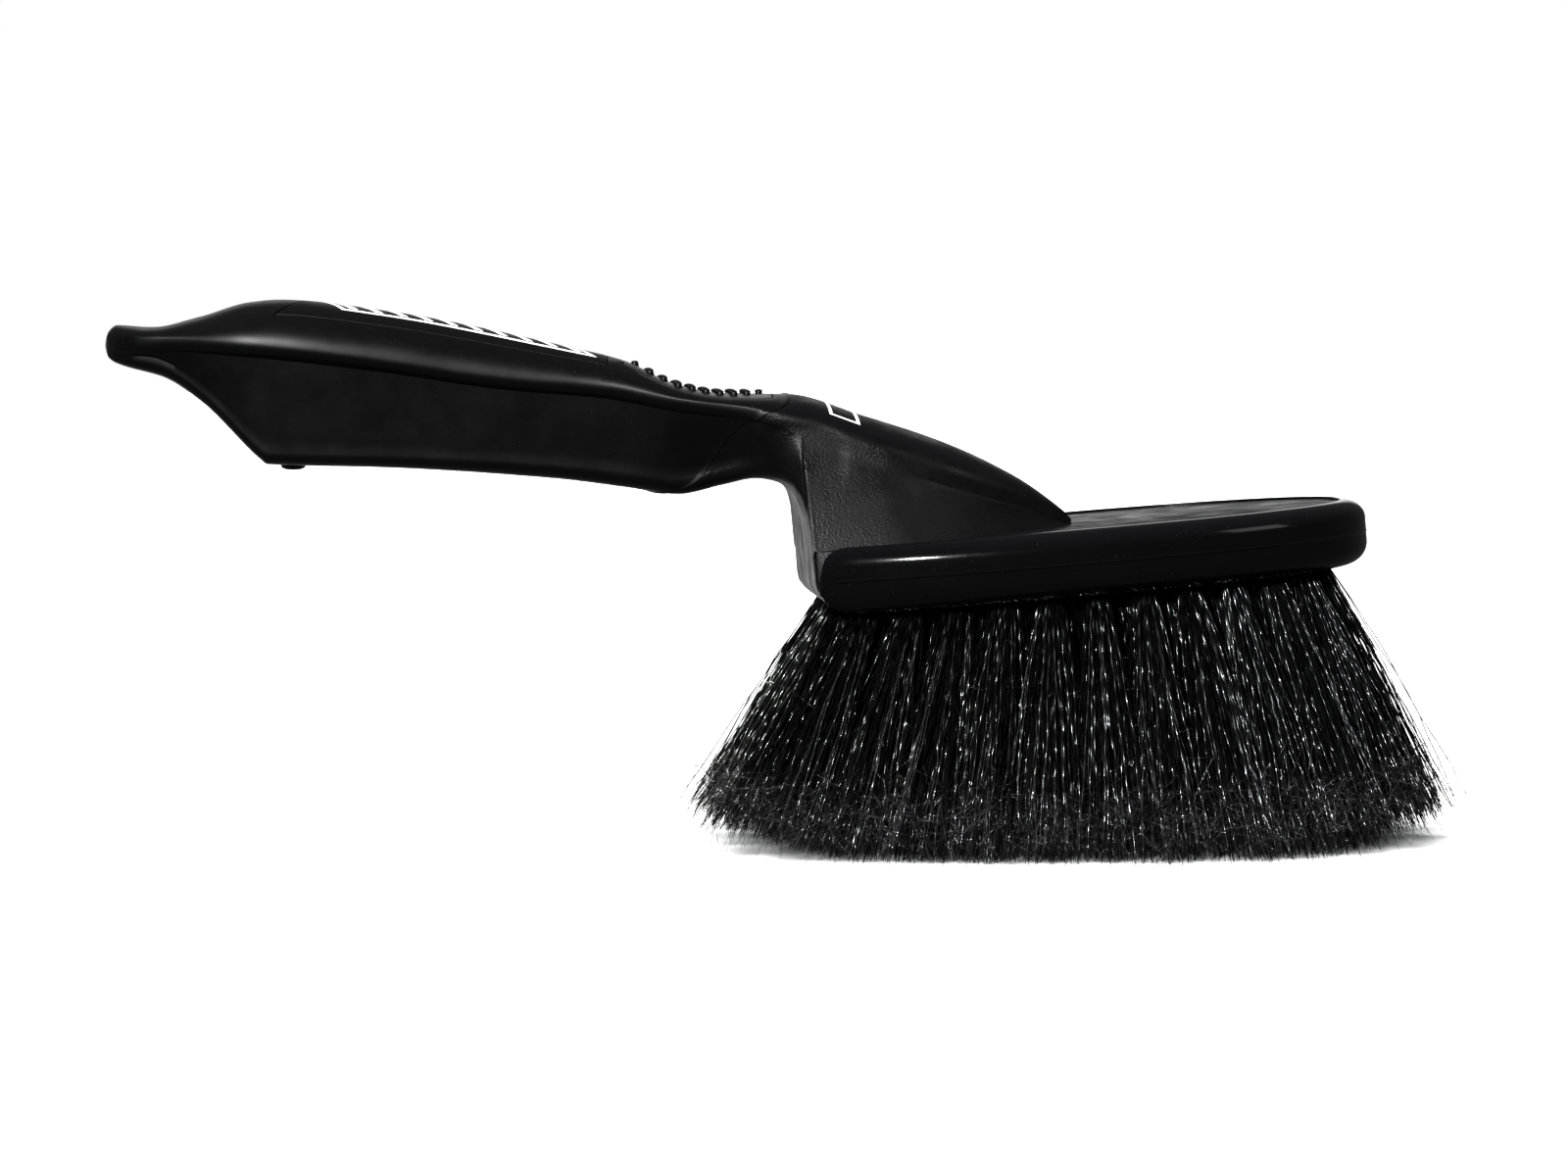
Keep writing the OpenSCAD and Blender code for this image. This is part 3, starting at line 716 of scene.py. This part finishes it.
def hole_cutter(roots):
    """One mesh of short cylinders along the tufts' axes."""
    points, faces = [], []
    around = np.linspace(0, 2 * math.pi, 16, endpoint=False)
    for p in roots:
        r = root_at(p)
        d = floor_at(p) - r
        d /= np.linalg.norm(d)
        a = np.cross(d, (0, 1, 0))
        a /= np.linalg.norm(a)
        b = np.cross(d, a)
        base = len(points)
        for z in (-HOLE_DEPTH, 3.0):
            for w in around:
                points.append(r + d * z + HOLE_D / 2 * (a * math.cos(w) + b * math.sin(w)))
        for j in range(16):
            k = (j + 1) % 16
            faces.append((base + j, base + k, base + 16 + k, base + 16 + j))
        faces.append(tuple(range(base + 15, base - 1, -1)))
        faces.append(tuple(range(base + 16, base + 32)))
    cutter = bpy.data.objects.new("cutter", mesh_of("cutter", points, faces))
    scene.collection.objects.link(cutter)
    return cutter


zones = tuft_zones()


def make_body():
    q = SECTION_QS
    core_stations = [CORE_START, -108, -104, -103] + span(-97, SEAM_RIDGE - 0.4, 14)
    core = [both_sides(surface(np.full(len(q), s), q, GRIP_SKIN + 0.02)) for s in core_stations]
    neck = loft("neck", core + make_neck_rings())
    body = new_object("body_moulding_shell", make_block(), moulding_pp)
    boolean(body, hole_cutter([p for roots in zones.values() for p in roots]))
    join_mesh(body, neck)
    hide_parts("body_moulding")


make_body()


# ---------------------------------------------------------------- bumper
PARTING = 6.7         # height of the moulding's parting line on the bumper
FLASH = 0.14          # how far the parting line stands out


def bumper_section():
    """The band's section as (share of width inward, height), from the inner bottom edge round."""
    top_round, low_round, rounded, n = 3.8, 4.6, 0.96, 14
    section_points = [(1.0, 0.0)]
    for i in range(n + 1):
        a = math.pi / 2 * i / n
        section_points.append((rounded * (1 - math.sin(a)), low_round * (1 - math.cos(a))))
    section_points += [(0.0, PARTING - 0.25), (-FLASH / BUMPER_W, PARTING - 0.1),
                       (-FLASH / BUMPER_W, PARTING + 0.1), (0.0, PARTING + 0.25), (0.0, 8.2)]
    for i in range(n + 1):
        a = math.pi / 2 * i / n
        section_points.append((rounded * (1 - math.cos(a)), BLOCK_T - top_round * (1 - math.sin(a))))
    section_points += [(0.985, BLOCK_T - 0.12), (1.0, BLOCK_T - 0.7), (1.0, BLOCK_T - 3)]
    return section_points


def make_bumper():
    path_n, gap, corner = 320, 0.002, 5.5
    points_2d = bumper_section()
    us = np.linspace(gap, 1 - gap, path_n)
    rims = np.array([rim(u) for u in us])
    run = np.concatenate([[0], np.cumsum(np.linalg.norm(np.diff(rims, axis=0), axis=1))])
    rings = []
    for u, d in zip(us, run):
        from_end = min(d, run[-1] - d)
        drop = 0.0
        if from_end < corner:
            drop = corner - math.sqrt(corner**2 - (corner - from_end) ** 2)
        squeeze = (BLOCK_T - 0.8 * drop) / BLOCK_T
        ring = []
        for share, z in points_2d:
            flash = 1 + 3.5 * math.exp(-(((u - 0.503) / 0.004) ** 2))
            x, y = rim_inset(u, max(share, 0) * band_w(u) + min(share, 0) * flash * BUMPER_W)
            ring.append((x, y, z * squeeze if z > PARTING else max(z, min(PARTING - 0.3, underside_at(x)))))
        rings.append(in_head(ring))
    bumper = new_object("bumper_band", loft("bumper_band", rings), bumper_tpr)
    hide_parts("bumper")


make_bumper()


# ---------------------------------------------------------------- inlays
GAP = 0.18            # groove round an inlay
ROUND = 0.3           # radius of an inlay's rim
Q_MM = 3.0            # about how wide one section point is near the edge of an inlay
FROM_RIM = [0, 0.03, 0.08, 0.16, 0.3, 0.6]


def rim_drop(distance):
    """How far an inlay's softened rim lies below its face, at a distance from the rim."""
    d = np.clip(distance, 0, ROUND)
    return ROUND - np.sqrt(ROUND**2 - (ROUND - d) ** 2)


def inlay_mesh(name, start, end, steps):
    """A curved plate that fills its pocket in the cap, with a softened rim and a groove round it."""
    a, b = start + GAP, end - GAP
    stations = ([a + d for d in FROM_RIM] + span(a + 0.9, b - 0.9, steps) + [b - d for d in FROM_RIM[::-1]])
    rings = []
    for s in stations:
        reach = Q_PATCH * edge_share(s) - (GAP / Q_MM)
        near = [reach - d / Q_MM for d in FROM_RIM[::-1]]
        half = np.array(span(0, near[0], 16) + near)
        q = np.concatenate([half[:0:-1], half])
        side = np.concatenate([-np.ones(len(half) - 1), np.ones(len(half))])[:, None]
        flip = np.concatenate([np.ones_like(side), side, np.ones_like(side)], 1)
        drop = rim_drop(np.minimum((reach - q) * Q_MM, min(s - a, b - s)))
        top = surface(np.full(len(q), s), q, drop) * flip
        low = surface(np.full(len(q), s), q, POCKET - 0.03) * flip
        rings.append(np.concatenate([top, low[::-1]]))
    return loft(name, rings)


def make_panel():
    mesh = inlay_mesh("top_panel_plate", PANEL_START, PANEL_END, 90)
    panel = new_object("top_panel_plate", mesh, panel_pp)
    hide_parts("top_panel")


PAD_MARGIN = 2.5      # plain border of the pad before its first and last row of studs


def make_pad():
    mesh = inlay_mesh("thumb_pad_plate", PAD_START, PAD_END, 50)
    work = bmesh.new()
    work.from_mesh(mesh)
    rows = int((PAD_END - PAD_START - 2 * PAD_MARGIN) // STUD_PITCH)
    for r in range(rows + 1):
        s = (PAD_START + PAD_END) / 2 + (r - rows / 2) * STUD_PITCH
        cap = float(at(CAP_W, s))
        reach = (cap - 8) * math.sqrt(1 - abs(2 * r / rows - 1) ** 3)
        count = int(reach // STUD_PITCH)
        for c in range(-count, count + 1):
            add_stud(work, s, c * STUD_PITCH, cap)
    studded = bpy.data.meshes.new("thumb_pad_plate")
    work.to_mesh(studded)
    work.free()
    studded.materials.append(grip_tpr)
    tidy_mesh(studded, 35.0)
    pad = new_object("thumb_pad_plate", studded, grip_tpr)
    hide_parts("thumb_pad")


def add_stud(work, s, y, cap):
    """A round-topped stud that stands up from the pad."""
    top = float(at(RIDGE, s))
    wide = min(float(at(CREASE, s)) + 1.6, top - 0.1)
    z = wide + (top - wide) * (1 - (abs(y) / cap) ** CAP_POWER) ** (1 / CAP_POWER)
    x = float(leaning(s, z))
    profile = [(STUD_D / 2 + 0.12, -0.5), (STUD_D / 2 + 0.1, 0.02), (STUD_D / 2, 0.12)]
    profile += [(STUD_D / 2, STUD_H - 0.35)]
    profile += [(STUD_D / 2 * math.cos(a), STUD_H - 0.35 + 0.33 * math.sin(a))
                for a in (0.35, 0.7, 1.05, 1.35)]
    around = np.linspace(0, 2 * math.pi, 16, endpoint=False)
    rings = [[work.verts.new(Vector((x + r * math.cos(w), y + r * math.sin(w), z + h)) * MM) for w in around]
             for r, h in profile]
    for a, b in zip(rings, rings[1:]):
        for j in range(16):
            k = (j + 1) % 16
            work.faces.new((a[j], a[k], b[k], b[j]))
    work.faces.new(rings[-1])
    work.faces.new(rings[0][::-1])


make_panel()
make_pad()


# ---------------------------------------------------------------- bristles
STRANDS = 150   # filaments in a tuft
GLOSSY_SHARE = 0.32                    # filaments that are glossier than the rest
STRAND_R = 0.14
STRAND_RINGS = 12
FIBRILS = 2                            # split ends of each filament
FIBRIL_R = 0.07
FIBRIL_RINGS = 5
TUFT_L = 52.0
ROOT_SUNK = 3.0                        # how far the filaments start inside their hole
FLARE = (1.25, 0.3)                    # mean and scatter of a tip's distance from its tuft's middle
TIP_SCATTER = 1.5
STRAY_SHARE = 0.03
STRAY_SCATTER = 4.5
BOW = 0.9                              # how far a filament bends out in its middle
CURL_AIM = 0.8                         # how far a split end turns aside
CURL_BEND = 0.4


def tubes(name, paths, radii, twist, along, strand, materials, finish):
    """One mesh of three-sided closed tubes, each with one of the materials.

    paths is (tubes, rings, 3), radii is (rings), twist and finish are (tubes).
    """
    n, m, _ = paths.shape
    ahead = np.gradient(paths, axis=1)
    ahead /= np.linalg.norm(ahead, axis=2, keepdims=True)
    side = np.cross(ahead, (0.3, 1.0, 0.2))
    side /= np.linalg.norm(side, axis=2, keepdims=True)
    other = np.cross(ahead, side)
    corners = []
    for k in range(3):
        turn = (twist + 2 * math.pi * k / 3)[:, None, None]
        corners.append(paths + radii[None, :, None] * (side * np.cos(turn) + other * np.sin(turn)))
    points = np.stack(corners, 2).reshape(-1, 3)
    points[:, 2] = np.maximum(points[:, 2], 0.02)
    first = (np.arange(n) * m * 3)[:, None, None] + (np.arange(m - 1) * 3)[None, :, None]
    k = np.arange(3)[None, None, :]
    j = (k + 1) % 3
    quads = np.stack([first + k, first + j, first + 3 + j, first + 3 + k], -1).reshape(-1, 4)
    start = np.arange(n) * m * 3
    caps = np.concatenate([np.stack([start + 2, start + 1, start], -1),
                           np.stack([start, start + 1, start + 2], -1) + (m - 1) * 3])
    mesh = bpy.data.meshes.new(name)
    mesh.vertices.add(len(points))
    mesh.vertices.foreach_set("co", (points * MM).ravel())
    mesh.loops.add(quads.size + caps.size)
    mesh.loops.foreach_set("vertex_index", np.concatenate([quads.ravel(), caps.ravel()]).astype(np.int32))
    mesh.polygons.add(len(quads) + len(caps))
    starts = np.concatenate([np.arange(len(quads)) * 4, quads.size + np.arange(len(caps)) * 3])
    mesh.polygons.foreach_set("loop_start", starts.astype(np.int32))
    mesh.update(calc_edges=True)
    for key, values in (("along", along), ("strand", strand)):
        layer = mesh.attributes.new(key, "FLOAT", "POINT")
        layer.data.foreach_set("value", np.repeat(values.ravel(), 3).astype(np.float32))
    made = new_object(name, mesh, materials[0])
    for material in materials[1:]:
        mesh.materials.append(material)
    picked = np.concatenate([np.repeat(finish, 3 * (m - 1)), np.tile(finish, 2)])
    mesh.polygons.foreach_set("material_index", picked.astype(np.int32))
    return made


def tuft_paths(p, rng):
    """Centre lines of one tuft's filaments, fanning from its hole to its place on the floor."""
    root, foot = root_at(p), floor_at(p)
    n = STRANDS
    turn = rng.uniform(0, 2 * math.pi, n)
    out = np.sqrt(rng.uniform(0, 1, n))
    offset = np.stack([out * np.cos(turn), out * np.sin(turn), np.zeros(n)], -1)
    start = root + offset * (HOLE_D / 2 - 0.25)
    down = (foot - root) / np.linalg.norm(foot - root)
    start = start - down * ROOT_SUNK
    spread = TIP_D / 2 * rng.normal(*FLARE, n)
    end = foot + offset * spread[:, None] + rng.normal(0, TIP_SCATTER, (n, 3)) * (1, 1, 0)
    stray = rng.uniform(0, 1, n) < STRAY_SHARE
    end += stray[:, None] * rng.normal(0, STRAY_SCATTER, (n, 3)) * (1, 1, 0)
    far = abs(end[:, 0] - FOOT_CENTRE)
    lift = 5.0 * ease((far - 46) / 30) + np.abs(rng.normal(0, 0.8, n))
    end[:, 2] = lift
    t = np.linspace(0, 1, STRAND_RINGS)
    bow = np.sin(math.pi * t)[None, :, None]
    straight = start[:, None] + (end - start)[:, None] * t[None, :, None]
    bend = rng.normal(0, BOW, (n, 1, 3)) * bow
    wave = rng.uniform(0.1, 0.32, (n, 1, 1))
    phase = rng.uniform(0, 2 * math.pi, (n, 1, 3))
    pace = rng.uniform(2.5, 4.5, (n, 1, 1))
    rooted = np.minimum(1, 3 * t)[None, :, None]
    ripple = wave * np.sin(2 * math.pi * pace * t[None, :, None] + phase) * rooted
    paths = straight + bend + ripple
    keep = straight[:, :1] - paths[:, :1]
    paths += keep * (1 - t)[None, :, None]
    return paths


def fibril_paths(paths, rng):
    """Split ends: fine curling fibrils that leave each filament near its tip."""
    many = np.repeat(paths, FIBRILS, 0)
    n = len(many)
    loose = rng.uniform(0, 1, n) < 0.02
    share = np.where(loose, rng.uniform(0.35, 0.7, n), rng.uniform(0.74, 0.93, n))
    at_ring = share * (STRAND_RINGS - 1)
    i = np.floor(at_ring).astype(int)
    f = (at_ring - i)[:, None]
    rows = np.arange(n)
    start = many[rows, i] * (1 - f) + many[rows, i + 1] * f
    ahead = many[:, -1] - many[:, -3]
    ahead /= np.linalg.norm(ahead, axis=1, keepdims=True)
    aim = ahead + rng.normal(0, CURL_AIM, (n, 3))
    aim /= np.linalg.norm(aim, axis=1, keepdims=True)
    length = rng.uniform(3.0, 8.0, n)[:, None]
    curl = rng.normal(0, CURL_BEND, (n, 3))
    t = np.linspace(0, 1, FIBRIL_RINGS)[None, :, None]
    return start[:, None] + aim[:, None] * length[:, None] * t + curl[:, None] * length[:, None] * t**2


def make_bristles():
    """Each zone's filaments and their split ends, in place of its plain tufts."""
    for index, (zone, roots) in enumerate(zones.items()):
        rng = np.random.default_rng(700 + index)
        paths = np.concatenate([tuft_paths(p, rng) for p in roots])
        n, m, _ = paths.shape
        own = rng.uniform(0, 1, (n, 1))
        along = np.broadcast_to(np.linspace(0, TUFT_L, m), (n, m))
        radii = STRAND_R * np.interp(np.linspace(0, 1, m), (0, 0.85, 1), (1, 1, 0.55))
        twist = rng.uniform(0, 2 * math.pi, n)
        finish = (own[:, 0] * 37 % 1 < GLOSSY_SHARE).astype(int)
        own = np.broadcast_to(own, (n, m))
        materials = [bristle_pbt, glossy_pbt]
        strands = tubes(f"bristles_{zone}", paths, radii, twist, along, own, materials, finish)
        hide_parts(f"tufts_{zone}")
        split = fibril_paths(paths, rng)
        k = len(split)
        tip_own = np.broadcast_to(rng.uniform(0, 1, (k, 1)), (k, FIBRIL_RINGS))
        reach = np.linspace(TUFT_L * 0.85, TUFT_L * 1.1, FIBRIL_RINGS)
        tip_along = np.broadcast_to(reach, (k, FIBRIL_RINGS))
        thin = FIBRIL_R * np.linspace(1, 0.5, FIBRIL_RINGS)
        twist = rng.uniform(0, 2 * math.pi, k)
        tubes(f"bristle_tips_{zone}", split, thin, twist, tip_along, tip_own, [tip_pbt], np.zeros(k, int))


make_bristles()

for zone in zones:
    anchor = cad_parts[f"anchors_{zone}"]
    anchor.data.materials.clear()
    anchor.data.materials.append(anchor_steel)


# ---------------------------------------------------------------- stage, light and camera
def make_floor():
    n = Nodes("floor_paper")
    n.surface(Base_Color=(0.88, 0.88, 0.88, 1), Roughness=0.8, Specular_IOR_Level=0.1)
    side = 4000.0
    low = -0.05
    corners = [(-side, -side, low), (side, -side, low), (side, side, low), (-side, side, low)]
    mesh = mesh_of("floor", corners, [(0, 1, 2, 3)])
    mesh.materials.append(n.material)
    floor = bpy.data.objects.new("floor", mesh)
    floor.visible_glossy = False
    floor.visible_diffuse = False
    scene.collection.objects.link(floor)


def add_light(name, data, place, aim):
    light = bpy.data.objects.new(name, data)
    light.location = place
    light.rotation_euler = (Vector(aim) - Vector(place)).to_track_quat("-Z", "Y").to_euler()
    scene.collection.objects.link(light)
    return light


def soft_light(name, place, aim, size, power):
    """A rectangular soft box that points at a place on the brush."""
    data = bpy.data.lights.new(name, "AREA")
    data.shape = "RECTANGLE"
    data.size, data.size_y = size
    data.energy = power
    return add_light(name, data, place, aim)


def sky_light(name, place, strength, spread):
    """Even light from above for the floor, hidden from gloss so that it makes no highlight."""
    data = bpy.data.lights.new(name, "SUN")
    data.energy = strength
    data.angle = spread
    light = add_light(name, data, place, (0.0, 0.0, 0.0))
    light.visible_glossy = False
    return light


FRONT_GLOW = 0.06
BACK_GLOW = 1.4
# How straight behind the brush the bright backdrop begins, and where it is full
GLOW_CONE = (0.91, 0.993)


def make_world():
    """A white surround to the eye that lights the brush from behind and leaves its front dark."""
    world = bpy.data.worlds.new("studio")
    world.use_nodes = True
    tree = world.node_tree
    back = tree.nodes["Background"]
    back.inputs["Color"].default_value = (1, 1, 1, 1)
    place = tree.nodes.new("ShaderNodeTexCoord")
    split = tree.nodes.new("ShaderNodeSeparateXYZ")
    tree.links.new(place.outputs["Generated"], split.inputs[0])
    fade = tree.nodes.new("ShaderNodeMapRange")
    fade.interpolation_type = "SMOOTHSTEP"
    for socket, value in zip(fade.inputs[1:5], (*GLOW_CONE, FRONT_GLOW, BACK_GLOW)):
        socket.default_value = value
    tree.links.new(split.outputs[1], fade.inputs[0])
    seen = tree.nodes.new("ShaderNodeLightPath").outputs["Is Camera Ray"]
    pick = tree.nodes.new("ShaderNodeMix")
    tree.links.new(seen, pick.inputs[0])
    tree.links.new(fade.outputs[0], pick.inputs[2])
    pick.inputs[3].default_value = 1.0
    tree.links.new(pick.outputs[0], back.inputs["Strength"])
    scene.world = world


def make_camera():
    yaw, rise, distance = math.radians(4.5), math.radians(3.6), 1.0
    target = Vector((0.001, 0.0, 0.0514))
    away = Vector((-math.sin(yaw) * math.cos(rise), -math.cos(yaw) * math.cos(rise), math.sin(rise)))
    data = bpy.data.cameras.new("camera")
    data.lens = 112.5
    data.sensor_width = 36.0
    camera = bpy.data.objects.new("camera", data)
    camera.location = target + away * distance
    camera.rotation_euler = (-away).to_track_quat("-Z", "Y").to_euler()
    scene.collection.objects.link(camera)
    scene.camera = camera


make_floor()
make_world()
make_camera()
sky_light("overhead", (-0.35, 0.05, 1.0), 10.0, math.radians(40))
soft_light("right_box", (0.95, -0.75, 0.75), (0.05, 0.0, 0.06), (0.5, 0.5), 1.2)
soft_light("key", (-0.34, -1.1, 0.36), (0.0, 0.0, 0.06), (0.036, 0.036), 12.0)
scene.view_settings.view_transform = "Standard"
